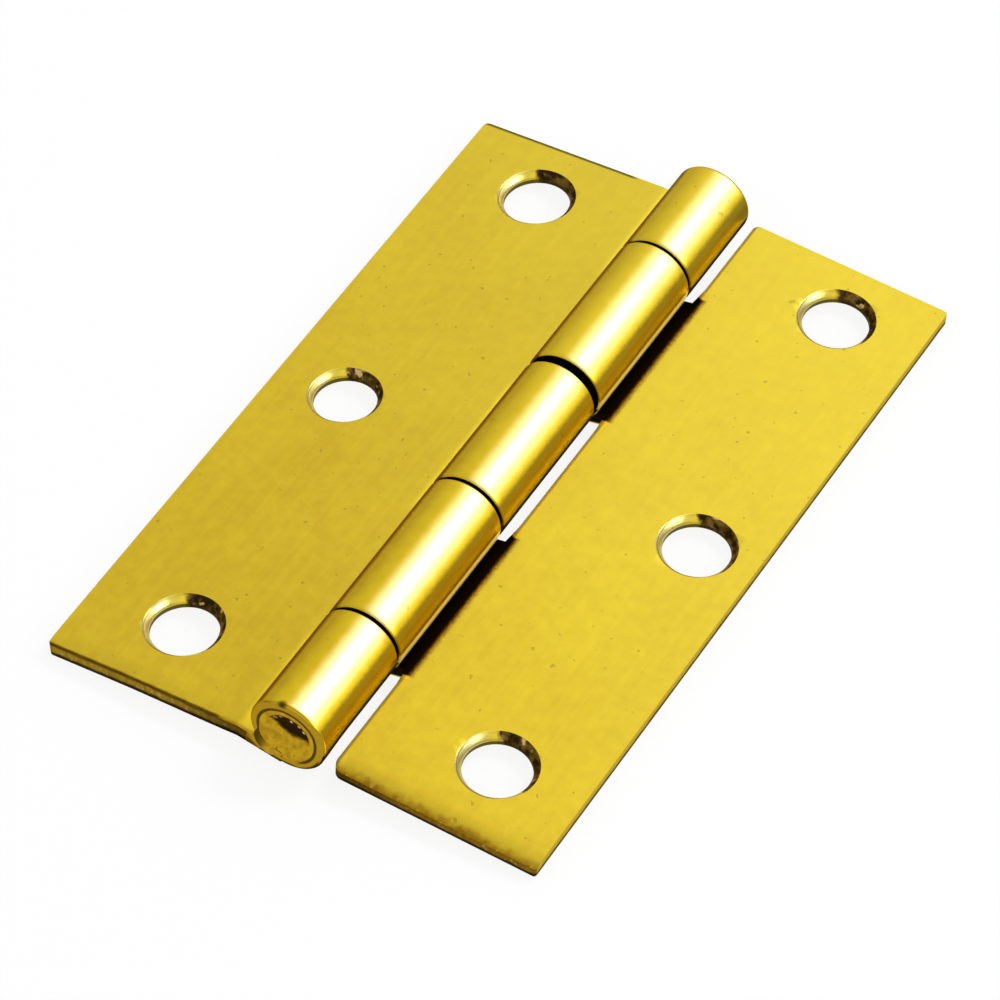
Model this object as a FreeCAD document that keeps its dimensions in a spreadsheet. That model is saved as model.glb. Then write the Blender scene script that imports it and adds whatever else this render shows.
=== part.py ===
# Butt hinge of pressed sheet. Each flat leaf has tongues along its inner edge, and they are
# rolled into knuckles that take turns along one pin with staked ends.
# Millimetres and degrees. The hinge lies opened flat: +Y runs along the pin, +X points to the
# two-knuckle leaf, +Z is up, and the origin is on the ground below the middle of the pin.
import FreeCAD, Part
import math
import os
import Sketcher

Vector = FreeCAD.Vector

# Driving sizes: name, value and what it measures.
driving_sizes = [
    ("leaf_length", "76", "leaf along the pin"),
    ("leaf_width", "25", "pin axis to the outer edge of a leaf"),
    ("sheet_thickness", "1.3", "sheet that both leaves are pressed from"),
    ("closed_gap", "2.3", "space between the leaves when the hinge is shut"),
    ("edge_rounding", "0.2", "rounded edge of the plate on its screw side"),
    ("knuckle_bevel", "0.2", "broken outer edge at the ends of a knuckle"),
    ("slot_clearance", "0.8", "barrel to the edge of the cut-out beside it"),
    ("bend_setback", "0.9", "edge of a cut-out to the start of the tongue's bend"),
    ("bend_radius", "1.0", "inside radius of that bend"),
    ("fixed_seam", "0.1", "rolled tip to its tongue, three-knuckle leaf"),
    ("moving_seam", "0.5", "rolled tip to its tongue, two-knuckle leaf"),
    ("second_knuckle", "17.4", "length of the second knuckle from the near end"),
    ("middle_knuckle", "16.3", "length of the middle knuckle"),
    ("fourth_knuckle", "16.6", "length of the fourth knuckle"),
    ("first_gap", "0.4", "play between the first and second knuckles"),
    ("second_gap", "0.4", "play between the second and middle knuckles"),
    ("third_gap", "0.95", "play between the middle and fourth knuckles"),
    ("fourth_gap", "0.35", "play between the fourth and last knuckles"),
    ("row_offset", "0.5", "row of inner knuckles set towards the far end"),
    ("pin_diameter", "4.9", "pin between its staked ends"),
    ("pin_clearance", "0.05", "play between pin and bore, on the radius"),
    ("stake_depth", "0.5", "length of the spread end of the pin"),
    ("stake_spread", "0.5", "what that end gains on its radius"),
    ("pin_rim", "0.7", "flat rim round the dished end of the pin"),
    ("dish_depth", "0.55", "depth of that dish"),
    ("hole_diameter", "6.3", "screw hole below its countersink"),
    ("countersink_diameter", "7.3", "countersink at the face of the leaf"),
    ("countersink_angle", "90", "full angle of the countersink"),
    ("hole_inset", "7.1", "end of a leaf to its end holes"),
    ("fixed_hole_shift", "0.4", "row of holes set towards the far end, three-knuckle leaf"),
    ("moving_hole_shift", "0.75", "row of holes set towards the far end, two-knuckle leaf"),
    ("fixed_end_margin", "9.5", "outer edge to the end holes, three-knuckle leaf"),
    ("fixed_middle_margin", "7.2", "outer edge to the middle hole, three-knuckle leaf"),
    ("moving_end_margin", "8.4", "outer edge to the end holes, two-knuckle leaf"),
    ("moving_middle_margin", "5.9", "outer edge to the middle hole, two-knuckle leaf"),
]

# What follows from them, as expressions on the sheet. Radii, depths and offsets are from the
# pin's axis, and places along the pin are from the middle of the leaves.
half_length = "(Sizes.leaf_length / 2)"
pin_radius = "(Sizes.pin_diameter / 2)"
staked_radius = f"({pin_radius} + Sizes.stake_spread)"
dish_radius = f"({staked_radius} - Sizes.pin_rim)"
stake_start = f"({half_length} - Sizes.stake_depth)"
bore_radius = f"({pin_radius} + Sizes.pin_clearance)"
mouth_radius = f"({bore_radius} + Sizes.stake_spread)"
barrel_radius = f"({bore_radius} + Sizes.sheet_thickness)"
face_depth = "(Sizes.closed_gap / 2)"
back_depth = f"({face_depth} + Sizes.sheet_thickness)"
slot_edge = f"({barrel_radius} + Sizes.slot_clearance)"
bend_offset = f"({slot_edge} + Sizes.bend_setback)"
bend_depth = f"({back_depth} + Sizes.bend_radius)"
outer_bend_radius = "(Sizes.bend_radius + Sizes.sheet_thickness)"
hole_radius = "(Sizes.hole_diameter / 2)"
hole_row = f"({half_length} - Sizes.hole_inset)"

# The tongue leans down by this angle to run onto the barrel.
lean = (
    f"(atan2({bend_offset}; {bend_depth})"
    f" - acos(({barrel_radius} + Sizes.bend_radius) / hypot({bend_offset}; {bend_depth})))"
)
# A leaf droops by this angle, so that its outer edge rests on the ground beside the barrel.
droop = (
    f"(asin({barrel_radius} / hypot(Sizes.leaf_width; {back_depth}))"
    f" - atan2({back_depth}; Sizes.leaf_width))"
)

# Ends of the knuckles, from the near end of the pin to the far one.
inner_row = (
    "(Sizes.first_gap + Sizes.second_knuckle + Sizes.second_gap + Sizes.middle_knuckle"
    " + Sizes.third_gap + Sizes.fourth_knuckle + Sizes.fourth_gap)"
)
near_end = f"(-{half_length})"
first_end = f"(Sizes.row_offset - {inner_row} / 2)"
second_start = f"({first_end} + Sizes.first_gap)"
second_end = f"({second_start} + Sizes.second_knuckle)"
middle_start = f"({second_end} + Sizes.second_gap)"
middle_end = f"({middle_start} + Sizes.middle_knuckle)"
fourth_start = f"({middle_end} + Sizes.third_gap)"
fourth_end = f"({fourth_start} + Sizes.fourth_knuckle)"
last_start = f"({fourth_end} + Sizes.fourth_gap)"

doc = FreeCAD.newDocument("ButtHinge")
sheet = doc.addObject("Spreadsheet::Sheet", "Sizes")
for row, (name, value, meaning) in enumerate(driving_sizes, 1):
    sheet.set(f"A{row}", meaning)
    sheet.set(f"B{row}", value)
    sheet.setAlias(f"B{row}", name)
doc.recompute()


def number(expression):
    """What an expression on the sheet comes to, in mm or degrees."""
    result = sheet.evalExpression(expression)
    return float(getattr(result, "Value", result))


def origin_plane(body, role):
    return next(item for item in body.Origin.OriginFeatures if item.Role == role)


def new_sketch(body, name, role):
    """Sketch on one of the body's own origin planes."""
    sketch = body.newObject("Sketcher::SketchObject", name)
    sketch.AttachmentSupport = [(origin_plane(body, role), "")]
    sketch.MapMode = "FlatFace"
    return sketch


def rule(sketch, kind, *places):
    sketch.addConstraint(Sketcher.Constraint(kind, *places))


def dimension(sketch, expression, kind, *places):
    """Dimension that is held to an expression on the sheet."""
    index = sketch.addConstraint(Sketcher.Constraint(kind, *places, number(expression)))
    sketch.setExpression(f"Constraints[{index}]", expression)


def place_point(sketch, point, across, along):
    """Dimensions from the sketch's origin to a point, given as (geometry, end)."""
    dimension(sketch, across, "DistanceX", -1, 1, *point)
    dimension(sketch, along, "DistanceY", -1, 1, *point)


def polygon(sketch, corners):
    """Closed outline of straight lines between corners, each a pair of expressions."""
    points = [Vector(number(across), number(along), 0) for across, along in corners]
    following = points[1:] + points[:1]
    lines = [
        sketch.addGeometry(Part.LineSegment(start, end)) for start, end in zip(points, following)
    ]
    for line, next_line in zip(lines, lines[1:] + lines[:1]):
        rule(sketch, "Coincident", line, 2, next_line, 1)
    for line, (across, along) in zip(lines, corners):
        place_point(sketch, (line, 1), across, along)


def polar(centre, radius, angle):
    turned = math.radians(angle)
    return centre + Vector(radius * math.cos(turned), radius * math.sin(turned), 0)


def add_arc(sketch, centre, radius, start, end):
    circle = Part.Circle(centre, Vector(0, 0, 1), radius)
    return sketch.addGeometry(Part.ArcOfCircle(circle, math.radians(start), math.radians(end)))


def add_line(sketch, start, end):
    return sketch.addGeometry(Part.LineSegment(start, end))


def leaf_section(body, seam):
    """The sheet seen along the pin: plate, bend, tongue, and the roll round the pin."""
    sketch = new_sketch(body, "Section", "XZ_Plane")
    axis = Vector(0, 0, 0)
    bend = Vector(number(bend_offset), -number(bend_depth), 0)
    inner = number(bore_radius)
    outer = number(barrel_radius)
    small = number("Sizes.bend_radius")
    large = number(outer_bend_radius)
    slope = number(lean)
    tip = number(f"{lean} - asin(({bore_radius} - Sizes.{seam}) / {barrel_radius})")
    face_edge = Vector(number("Sizes.leaf_width"), -number(face_depth), 0)
    back_edge = Vector(number("Sizes.leaf_width"), -number(back_depth), 0)

    back = add_line(sketch, back_edge, polar(bend, small, 90))
    back_bend = add_arc(sketch, bend, small, 90, 90 + slope)
    tongue_back = add_line(
        sketch, polar(bend, small, 90 + slope), polar(axis, outer, slope - 90)
    )
    outer_roll = add_arc(sketch, axis, outer, tip, 270 + slope)
    tip_edge = add_line(sketch, polar(axis, outer, tip), polar(axis, inner, tip))
    inner_roll = add_arc(sketch, axis, inner, tip, 270 + slope)
    tongue_face = add_line(
        sketch, polar(axis, inner, slope - 90), polar(bend, large, 90 + slope)
    )
    face_bend = add_arc(sketch, bend, large, 90, 90 + slope)
    face = add_line(sketch, polar(bend, large, 90), face_edge)
    outer_edge = add_line(sketch, face_edge, back_edge)

    rule(sketch, "Tangent", back, 2, back_bend, 1)
    rule(sketch, "Tangent", back_bend, 2, tongue_back, 1)
    rule(sketch, "Tangent", tongue_back, 2, outer_roll, 2)
    rule(sketch, "Coincident", outer_roll, 1, tip_edge, 1)
    rule(sketch, "Coincident", tip_edge, 2, inner_roll, 1)
    rule(sketch, "Tangent", inner_roll, 2, tongue_face, 1)
    rule(sketch, "Tangent", tongue_face, 2, face_bend, 2)
    rule(sketch, "Tangent", face_bend, 1, face, 1)
    rule(sketch, "Coincident", face, 2, outer_edge, 1)
    rule(sketch, "Coincident", outer_edge, 2, back, 1)
    rule(sketch, "Coincident", outer_roll, 3, -1, 1)
    rule(sketch, "Coincident", inner_roll, 3, -1, 1)
    rule(sketch, "Coincident", back_bend, 3, face_bend, 3)
    rule(sketch, "Horizontal", back)
    rule(sketch, "Horizontal", face)
    rule(sketch, "Vertical", outer_edge)
    rule(sketch, "PointOnObject", -1, 1, tip_edge)
    dimension(sketch, bore_radius, "Radius", inner_roll)
    dimension(sketch, barrel_radius, "Radius", outer_roll)
    dimension(sketch, "Sizes.bend_radius", "Radius", back_bend)
    dimension(sketch, "Sizes.sheet_thickness", "DistanceY", outer_edge, 2, outer_edge, 1)
    dimension(sketch, f"Sizes.{seam}", "Distance", tip_edge, 1, tongue_face)
    dimension(sketch, bend_offset, "DistanceX", -1, 1, back_bend, 3)
    place_point(sketch, (outer_edge, 2), "Sizes.leaf_width", f"(-{back_depth})")
    return sketch


def same(first, second):
    return math.isclose(first, second, abs_tol=1e-4)


def dress_edges(body, kind, name, wanted):
    """Fillet or chamfer on the last feature's edges whose ends and middle are all wanted."""
    doc.recompute()
    base = body.Tip
    names = []
    for index, edge in enumerate(base.Shape.Edges, 1):
        start, end = edge.ParameterRange
        places = [edge.valueAt(at) for at in (start, (start + end) / 2, end)]
        if all(wanted(place) for place in places):
            names.append(f"Edge{index}")
    dressing = body.newObject(kind, name)
    dressing.Base = (base, names)
    return dressing


def leaf(label, seam, knuckles, cut_outs, hole_shift, end_margin, middle_margin):
    """A leaf in its own frame: pin axis along Y, plate towards +X with its screw side up."""
    body = doc.addObject("PartDesign::Body", label)
    body.Label = label
    strip = body.newObject("PartDesign::Pad", "Strip")
    strip.Profile = leaf_section(body, seam)
    strip.SideType = "Symmetric"
    strip.setExpression("Length", "Sizes.leaf_length")

    # The blank is cut away where the other leaf's knuckles come.
    slots = new_sketch(body, "CutOuts", "XY_Plane")
    for start, end in cut_outs:
        left = f"(-{slot_edge})"
        polygon(slots, [(left, start), (slot_edge, start), (slot_edge, end), (left, end)])
    cut = body.newObject("PartDesign::Pocket", "KnuckleCut")
    cut.Profile = slots
    cut.SideType = "Symmetric"
    cut.Type = "ThroughAll"

    end = number(half_length)
    rim = number("Sizes.leaf_width")
    inner_edge = number(slot_edge)
    face = -number(face_depth)
    back = -number(back_depth)
    barrel = number(barrel_radius)
    knuckle_ends = [number(place) for knuckle in knuckles for place in knuckle]

    def on_sheared_edge(place):
        at_rim = same(place.x, rim) or same(abs(place.y), end)
        at_cut_out = same(place.x, inner_edge) and place.z > (face + back) / 2
        return at_cut_out or (at_rim and same(place.z, face))

    def on_knuckle_end(place):
        at_end = any(same(place.y, knuckle_end) for knuckle_end in knuckle_ends)
        return at_end and same(math.hypot(place.x, place.z), barrel)

    sheared = dress_edges(body, "PartDesign::Fillet", "ShearedEdges", on_sheared_edge)
    sheared.setExpression("Radius", "Sizes.edge_rounding")
    bevels = dress_edges(body, "PartDesign::Chamfer", "KnuckleEnds", on_knuckle_end)
    bevels.setExpression("Size", "Sizes.knuckle_bevel")

    # Three countersunk holes in a shallow zigzag, the middle one nearer the outer edge.
    spots = new_sketch(body, "HoleSpots", "XY_Plane")
    spots.setExpression("AttachmentOffset.Base.z", f"-{face_depth}")
    rows = ((end_margin, f"({hole_shift} - {hole_row})"), (middle_margin, hole_shift),
            (end_margin, f"({hole_shift} + {hole_row})"))
    for margin, along in rows:
        across = f"(Sizes.leaf_width - Sizes.{margin})"
        centre = Vector(number(across), number(along), 0)
        spot = spots.addGeometry(Part.Circle(centre, Vector(0, 0, 1), number(hole_radius)))
        dimension(spots, hole_radius, "Radius", spot)
        place_point(spots, (spot, 3), across, along)
    doc.recompute()
    holes = body.newObject("PartDesign::Hole", "ScrewHoles")
    holes.Profile = spots
    holes.DepthType = "ThroughAll"
    holes.HoleCutType = "Countersink"
    holes.HoleCutCustomValues = True
    holes.setExpression("Diameter", "Sizes.hole_diameter")
    holes.setExpression("HoleCutDiameter", "Sizes.countersink_diameter")
    holes.setExpression("HoleCutCountersinkAngle", "Sizes.countersink_angle")
    return body


def widen_mouths(body):
    """Cones at both ends of the bore, which the pin's ends are spread into."""
    sketch = new_sketch(body, "MouthSection", "XY_Plane")
    for side in ("", "-"):
        start = f"({side}{stake_start})"
        end = f"({side}{half_length})"
        polygon(sketch, [("0", start), (bore_radius, start), (mouth_radius, end), ("0", end)])
    mouths = body.newObject("PartDesign::Groove", "Mouths")
    mouths.Profile = sketch
    mouths.ReferenceAxis = (sketch, ["V_Axis"])
    mouths.Angle = 360


def pin(label):
    """Turned pin. Both ends are spread by a punch that leaves a round dish."""
    body = doc.addObject("PartDesign::Body", label)
    body.Label = label
    sketch = new_sketch(body, "PinSection", "XY_Plane")
    end = number(half_length)
    neck = number(stake_start)
    shank = number(pin_radius)
    spread = number(staked_radius)
    dish = number(dish_radius)
    depth = number("Sizes.dish_depth")
    dish_curve = (dish**2 + depth**2) / (2 * depth)
    dish_angle = math.degrees(math.asin(dish / dish_curve))
    near_centre = Vector(0, depth - dish_curve - end, 0)

    core = add_line(sketch, Vector(0, end - depth, 0), Vector(0, depth - end, 0))
    near_dish = add_arc(sketch, near_centre, dish_curve, 90 - dish_angle, 90)
    near_rim = add_line(sketch, Vector(dish, -end, 0), Vector(spread, -end, 0))
    near_stake = add_line(sketch, Vector(spread, -end, 0), Vector(shank, -neck, 0))
    side = add_line(sketch, Vector(shank, -neck, 0), Vector(shank, neck, 0))
    far_stake = add_line(sketch, Vector(shank, neck, 0), Vector(spread, end, 0))
    far_rim = add_line(sketch, Vector(spread, end, 0), Vector(dish, end, 0))
    far_dish = add_arc(sketch, -near_centre, dish_curve, -90, dish_angle - 90)

    rule(sketch, "Coincident", core, 2, near_dish, 2)
    rule(sketch, "Coincident", near_dish, 1, near_rim, 1)
    rule(sketch, "Coincident", near_rim, 2, near_stake, 1)
    rule(sketch, "Coincident", near_stake, 2, side, 1)
    rule(sketch, "Coincident", side, 2, far_stake, 1)
    rule(sketch, "Coincident", far_stake, 2, far_rim, 1)
    rule(sketch, "Coincident", far_rim, 2, far_dish, 2)
    rule(sketch, "Coincident", far_dish, 1, core, 1)
    rule(sketch, "PointOnObject", near_dish, 3, -2)
    rule(sketch, "PointOnObject", far_dish, 3, -2)
    place_point(sketch, (core, 1), "0", f"({half_length} - Sizes.dish_depth)")
    place_point(sketch, (core, 2), "0", f"(Sizes.dish_depth - {half_length})")
    place_point(sketch, (near_rim, 1), dish_radius, near_end)
    place_point(sketch, (near_stake, 1), staked_radius, near_end)
    place_point(sketch, (side, 1), pin_radius, f"(-{stake_start})")
    place_point(sketch, (side, 2), pin_radius, stake_start)
    place_point(sketch, (far_stake, 2), staked_radius, half_length)
    place_point(sketch, (far_rim, 2), dish_radius, half_length)

    turning = body.newObject("PartDesign::Revolution", "Turning")
    turning.Profile = sketch
    turning.ReferenceAxis = (sketch, ["V_Axis"])
    turning.Angle = 360
    return body


def mirrored(spans):
    """The same spans for a leaf that is turned half round, whose own Y runs the other way."""
    return [(f"(-{end})", f"(-{start})") for start, end in spans]


def placement(*turns):
    """Placement with the pin's axis one barrel radius above the ground."""
    rotations = " * ".join(f"rotation({axis}; {angle})" for axis, angle in turns)
    return f"placement(vector(0; 0; {barrel_radius}); {rotations})"


three_knuckle_leaf = leaf(
    "three_knuckle_leaf",
    seam="fixed_seam",
    knuckles=mirrored(
        [(near_end, first_end), (middle_start, middle_end), (last_start, half_length)]
    ),
    cut_outs=mirrored([(first_end, middle_start), (middle_end, last_start)]),
    hole_shift="(-Sizes.fixed_hole_shift)",
    end_margin="fixed_end_margin",
    middle_margin="fixed_middle_margin",
)
widen_mouths(three_knuckle_leaf)

two_knuckle_leaf = leaf(
    "two_knuckle_leaf",
    seam="moving_seam",
    knuckles=[(second_start, second_end), (fourth_start, fourth_end)],
    cut_outs=[(near_end, second_start), (second_end, fourth_start), (fourth_end, half_length)],
    hole_shift="(Sizes.moving_hole_shift)",
    end_margin="moving_end_margin",
    middle_margin="moving_middle_margin",
)

hinge_pin = pin("hinge_pin")

# The leaves lean outwards and down from the pin, to either side.
along_pin = "vector(0; 1; 0)"
upright = "vector(0; 0; 1)"
three_knuckle_leaf.setExpression(
    "Placement", placement((along_pin, f"-{droop}"), (upright, "180 deg"))
)
two_knuckle_leaf.setExpression("Placement", placement((along_pin, droop)))
hinge_pin.setExpression("Placement", placement((along_pin, "0 deg")))
doc.recompute()

for item in doc.Objects:
    if {"Invalid", "Error"} & set(item.State):
        raise RuntimeError(f"{item.Label} failed: {item.State}")

pieces = (three_knuckle_leaf, two_knuckle_leaf, hinge_pin)
for piece in pieces:
    shape = piece.Shape
    if shape.isNull() or not shape.isValid() or len(shape.Solids) != 1:
        raise RuntimeError(f"{piece.Label} is not one valid solid")

os.makedirs("parts", exist_ok=True)
for piece in pieces:
    piece.Shape.exportStep(f"parts/{piece.Label}.step")
    print(f"{piece.Label}: {piece.Shape.Volume:.1f} cubic mm")
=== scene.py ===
import math
import bmesh
import bpy
from mathutils import Matrix, Vector


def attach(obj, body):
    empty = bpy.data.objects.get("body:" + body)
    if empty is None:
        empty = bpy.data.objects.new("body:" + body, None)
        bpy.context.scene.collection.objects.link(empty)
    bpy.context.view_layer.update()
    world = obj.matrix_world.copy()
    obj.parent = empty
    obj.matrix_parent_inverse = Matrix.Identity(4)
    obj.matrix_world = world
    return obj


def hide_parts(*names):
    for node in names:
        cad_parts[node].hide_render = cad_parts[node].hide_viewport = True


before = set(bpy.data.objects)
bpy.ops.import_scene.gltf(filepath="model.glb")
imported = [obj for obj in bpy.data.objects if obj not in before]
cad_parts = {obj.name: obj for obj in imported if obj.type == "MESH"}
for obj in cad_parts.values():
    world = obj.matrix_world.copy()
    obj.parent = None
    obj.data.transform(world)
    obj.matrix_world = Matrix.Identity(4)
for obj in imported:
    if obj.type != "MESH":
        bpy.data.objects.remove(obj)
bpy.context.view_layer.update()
print("hinge: frame loaded")

# Lengths are in millimetres while a piece is shaped; settle() brings it to metres at its place.
# A leaf is shaped in its own frame: pin along y at the origin, plate towards +x, face up.
millimetre = 0.001

barrel = {
    "outerRadius": 3.8,
    "boreRadius": 2.5,
    "axisHeight": 3.8,
    "leafDroop": math.radians(3.1037),   # how far each leaf hangs below level
    "rollSteps": 90,
}
sheetMetal = {
    "thickness": 1.3,
    "faceDepth": -1.15,                  # face plane, measured from the pin's axis
    "bendX": 5.5,
    "bendRadius": 1.0,
    "lean": math.radians(15.574),        # slope of the tongues under the barrel
    "slotX": 4.6,
    "reach": 25.0,
    "halfLength": 38.0,
    "rowSpacing": 1.0,
    "columns": (7.0, 8.5, 10.0, 12.0, 14.0, 16.5, 19.5, 22.5, 24.2),
}


# helpers for modelling

def deselectAll():
    if bpy.context.object and bpy.context.object.mode != "OBJECT":
        bpy.ops.object.mode_set(mode="OBJECT")
    bpy.ops.object.select_all(action="DESELECT")


def pick(kind, test):
    bpy.ops.mesh.select_mode(type=kind)
    bpy.ops.mesh.select_all(action="DESELECT")
    shape = bmesh.from_edit_mesh(bpy.context.object.data)
    parts = {"VERT": shape.verts, "EDGE": shape.edges, "FACE": shape.faces}[kind]
    for part in parts:
        if not part.hide and test(part):
            part.select_set(True)
    shape.select_flush_mode()
    bmesh.update_edit_mesh(bpy.context.object.data)


def near(a, b, slack=0.001):
    return abs(a - b) < slack


def allAt(edge, axis, value):
    return all(near(v.co[axis], value) for v in edge.verts)


def corner(edge, degrees=50):
    return len(edge.link_faces) == 2 and edge.calc_face_angle(0) > math.radians(degrees)


def cut(axis, value):
    plane = [0, 0, 0]
    plane[axis] = 1
    place = [0, 0, 0]
    place[axis] = value
    bpy.ops.mesh.select_all(action="SELECT")
    bpy.ops.mesh.bisect(plane_co=place, plane_no=plane, threshold=0.0001)


def push(shift, reach):
    # moves what is picked, and draws what lies within reach after it
    bpy.ops.transform.translate(value=shift, use_proportional_edit=True,
                                proportional_edit_falloff="SMOOTH", proportional_size=reach)


def applyModifier(piece, kind, **settings):
    modifier = piece.modifiers.new(kind.title(), kind)
    for key, value in settings.items():
        setattr(modifier, key, value)
    bpy.context.view_layer.objects.active = piece
    bpy.ops.object.modifier_apply(modifier=modifier.name)


def settle(piece, turn):
    deselectAll()
    piece.select_set(True)
    bpy.context.view_layer.objects.active = piece
    piece.location = (0, 0, barrel["axisHeight"] * millimetre)
    piece.rotation_euler = turn
    piece.scale = (millimetre,) * 3
    bpy.ops.object.transform_apply(location=True, rotation=True, scale=True)


def smooth(piece, degrees=35):
    deselectAll()
    piece.select_set(True)
    bpy.context.view_layer.objects.active = piece
    bpy.ops.object.shade_smooth_by_angle(angle=math.radians(degrees))
    applyModifier(piece, "WEIGHTED_NORMAL", keep_sharp=True, weight=80)


# A leaf is a flat plate whose inner edge is cut into tongues and rolled into knuckles.

threeKnuckleLeaf = {
    "knuckles": [(-38.0, -26.7), (-8.8, 7.5), (25.7, 38.0)],   # along the pin
    "tipAngle": math.radians(-23.59),
    "corners": [(25.0, 38.0, 0.4), (25.0, -38.0, 0.5)],        # place and rounding
    "holes": [(15.5, 30.5, 1.0), (17.8, -0.4, 0.94), (15.5, -31.3, 1.0)],   # place and size
    "nearEnd": 1,             # which end of the leaf was cropped blunt
    "rollOver": 0.14,
    "burr": 0.22,
    "sag": 0.32,              # the plate was bent more gently at its near end
    "bulge": 0.3,             # staking the pin drove the barrel's end out at the bottom
    "endShadeReach": 0.5,        # how far the painted shade reaches from the cropped near end
    "slotEdge": 3.2,          # how far out the painted shade beside the barrel reaches
    "turn": (0, barrel["leafDroop"], math.pi),
}
twoKnuckleLeaf = {
    "knuckles": [(-25.3, -7.9), (9.75, 26.35)],
    "tipAngle": math.radians(-16.18),
    "corners": [(25.0, 38.0, 0.35), (25.0, -38.0, 0.3), (4.6, 38.0, 0.6), (4.6, -38.0, 0.9)],
    "holes": [(16.6, -30.15, 1.0), (19.1, 0.75, 1.0), (16.6, 31.65, 1.0)],
    "nearEnd": -1,
    "rollOver": 0.34,
    "burr": 0.03,
    "sag": 0.0,
    "endShadeReach": 1.0,
    "slotEdge": 4.62,
    "turn": (0, barrel["leafDroop"], 0),
}


def sheetDepth(co):
    # 0 on the back of the sheet (outside of the barrel), 1 on its face (inside of the barrel)
    lean = sheetMetal["lean"]
    thickness = sheetMetal["thickness"]
    radius = barrel["outerRadius"]
    if co.x >= sheetMetal["bendX"]:
        return (co.z - sheetMetal["faceDepth"]) / thickness + 1
    along = co.x * math.cos(lean) + co.z * math.sin(lean)
    across = co.z * math.cos(lean) - co.x * math.sin(lean)
    if along > 0 and across < 0.2 - barrel["boreRadius"]:
        return (across + radius) / thickness
    return (radius - math.hypot(co.x, co.z)) / thickness


def onRoll(co):
    lean = sheetMetal["lean"]
    along = co.x * math.cos(lean) + co.z * math.sin(lean)
    across = co.z * math.cos(lean) - co.x * math.sin(lean)
    flatSide = along > 0 and across < 0.2 - barrel["boreRadius"]
    return not flatSide and math.hypot(co.x, co.z) < 4


def bendDrop(distance):
    # how far a tongue has bent down at this distance from the plate
    lean = sheetMetal["lean"]
    radius = sheetMetal["bendRadius"]
    bend = radius * math.sin(lean)
    if distance < bend:
        return radius - math.sqrt(radius ** 2 - distance ** 2)
    return radius * (1 - math.cos(lean)) + (distance - bend) * math.tan(lean)


def rolledSheet(name, plan):
    lean = sheetMetal["lean"]
    backZ = sheetMetal["faceDepth"] - sheetMetal["thickness"]
    half = sheetMetal["halfLength"]
    reach = sheetMetal["reach"]
    slotX = sheetMetal["slotX"]
    bendX = sheetMetal["bendX"]
    radius = barrel["outerRadius"]
    knuckles = plan["knuckles"]

    # the back of the flat plate, from the line of the slots to the outer edge
    deselectAll()
    bpy.ops.mesh.primitive_plane_add(size=1, location=(0, 0, 0))
    piece = bpy.context.object
    piece.name = name
    piece.data.name = name
    bpy.ops.object.mode_set(mode="EDIT")
    bpy.ops.transform.resize(value=(reach - slotX, 2 * half, 1))
    bpy.ops.transform.translate(value=((reach + slotX) / 2, 0, backZ))
    for x, y, rounding in plan["corners"]:
        pick("VERT", lambda v: near(v.co.x, x) and near(v.co.y, y))
        bpy.ops.mesh.bevel(affect="VERTICES", offset=rounding, segments=5)

    # rows across it: the knuckles' edges, and about one a millimetre between them
    edges = sorted({-half, half, *(y for span in knuckles for y in span)})
    for low, high in zip(edges, edges[1:]):
        steps = max(1, round((high - low) / sheetMetal["rowSpacing"]))
        for i in range(1, steps + 1):
            if high < half or i < steps:
                cut(1, low + (high - low) * i / steps)
    for end in (half - 0.4, 0.4 - half):
        cut(1, end)
    bend = sheetMetal["bendRadius"] * math.sin(lean)
    for x in (bendX, bendX - bend / 2, bendX - bend, *sheetMetal["columns"]):
        cut(0, x)

    # the tongues bend down, go on under the barrel and roll round the pin
    def inTongue(y):
        return any(low - 0.001 < y < high + 0.001 for low, high in knuckles)

    for x in (bendX - bend / 2, bendX - bend, slotX):
        pick("VERT", lambda v: near(v.co.x, x) and inTongue(v.co.y))
        bpy.ops.transform.translate(value=(0, 0, -bendDrop(bendX - x)))

    def tongueEnd(edge):
        middle = (edge.verts[0].co.y + edge.verts[1].co.y) / 2
        return inTongue(middle) and allAt(edge, 0, slotX)

    pick("EDGE", tongueEnd)
    run = slotX - radius * math.sin(lean)
    bpy.ops.mesh.extrude_edges_move(TRANSFORM_OT_translate={"value": (-run, 0, -run * math.tan(lean))})
    sweep = 2 * math.pi - math.pi / 2 + lean - plan["tipAngle"]
    bpy.ops.mesh.spin(steps=barrel["rollSteps"], angle=-sweep, center=(0, 0, 0), axis=(0, 1, 0))
    bpy.ops.mesh.select_all(action="SELECT")
    bpy.ops.mesh.remove_doubles(threshold=0.0005)

    # give the sheet its thickness, with the back as the outside
    bpy.ops.mesh.select_all(action="SELECT")
    shape = bmesh.from_edit_mesh(piece.data)
    shape.faces.ensure_lookup_table()
    plate = max(shape.faces, key=lambda f: f.calc_center_median().x)
    if plate.normal.z > 0:
        bpy.ops.mesh.flip_normals()
    bpy.ops.object.mode_set(mode="OBJECT")
    applyModifier(piece, "SOLIDIFY", thickness=sheetMetal["thickness"], offset=-1,
                  use_even_offset=True, use_rim=True)
    return piece


edgeFinish = {
    "dieRoll": 0.36,        # rounded upper edge that the shearing left
    "burrSide": 0.07,
    "knuckleRound": 0.2,
    "endRound": 0.34,       # the barrel's two outer ends
    "boreRound": 0.1,
    "mouthFlare": 0.5,      # spread mouths at those ends
    "tipRound": 0.18,
}


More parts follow.
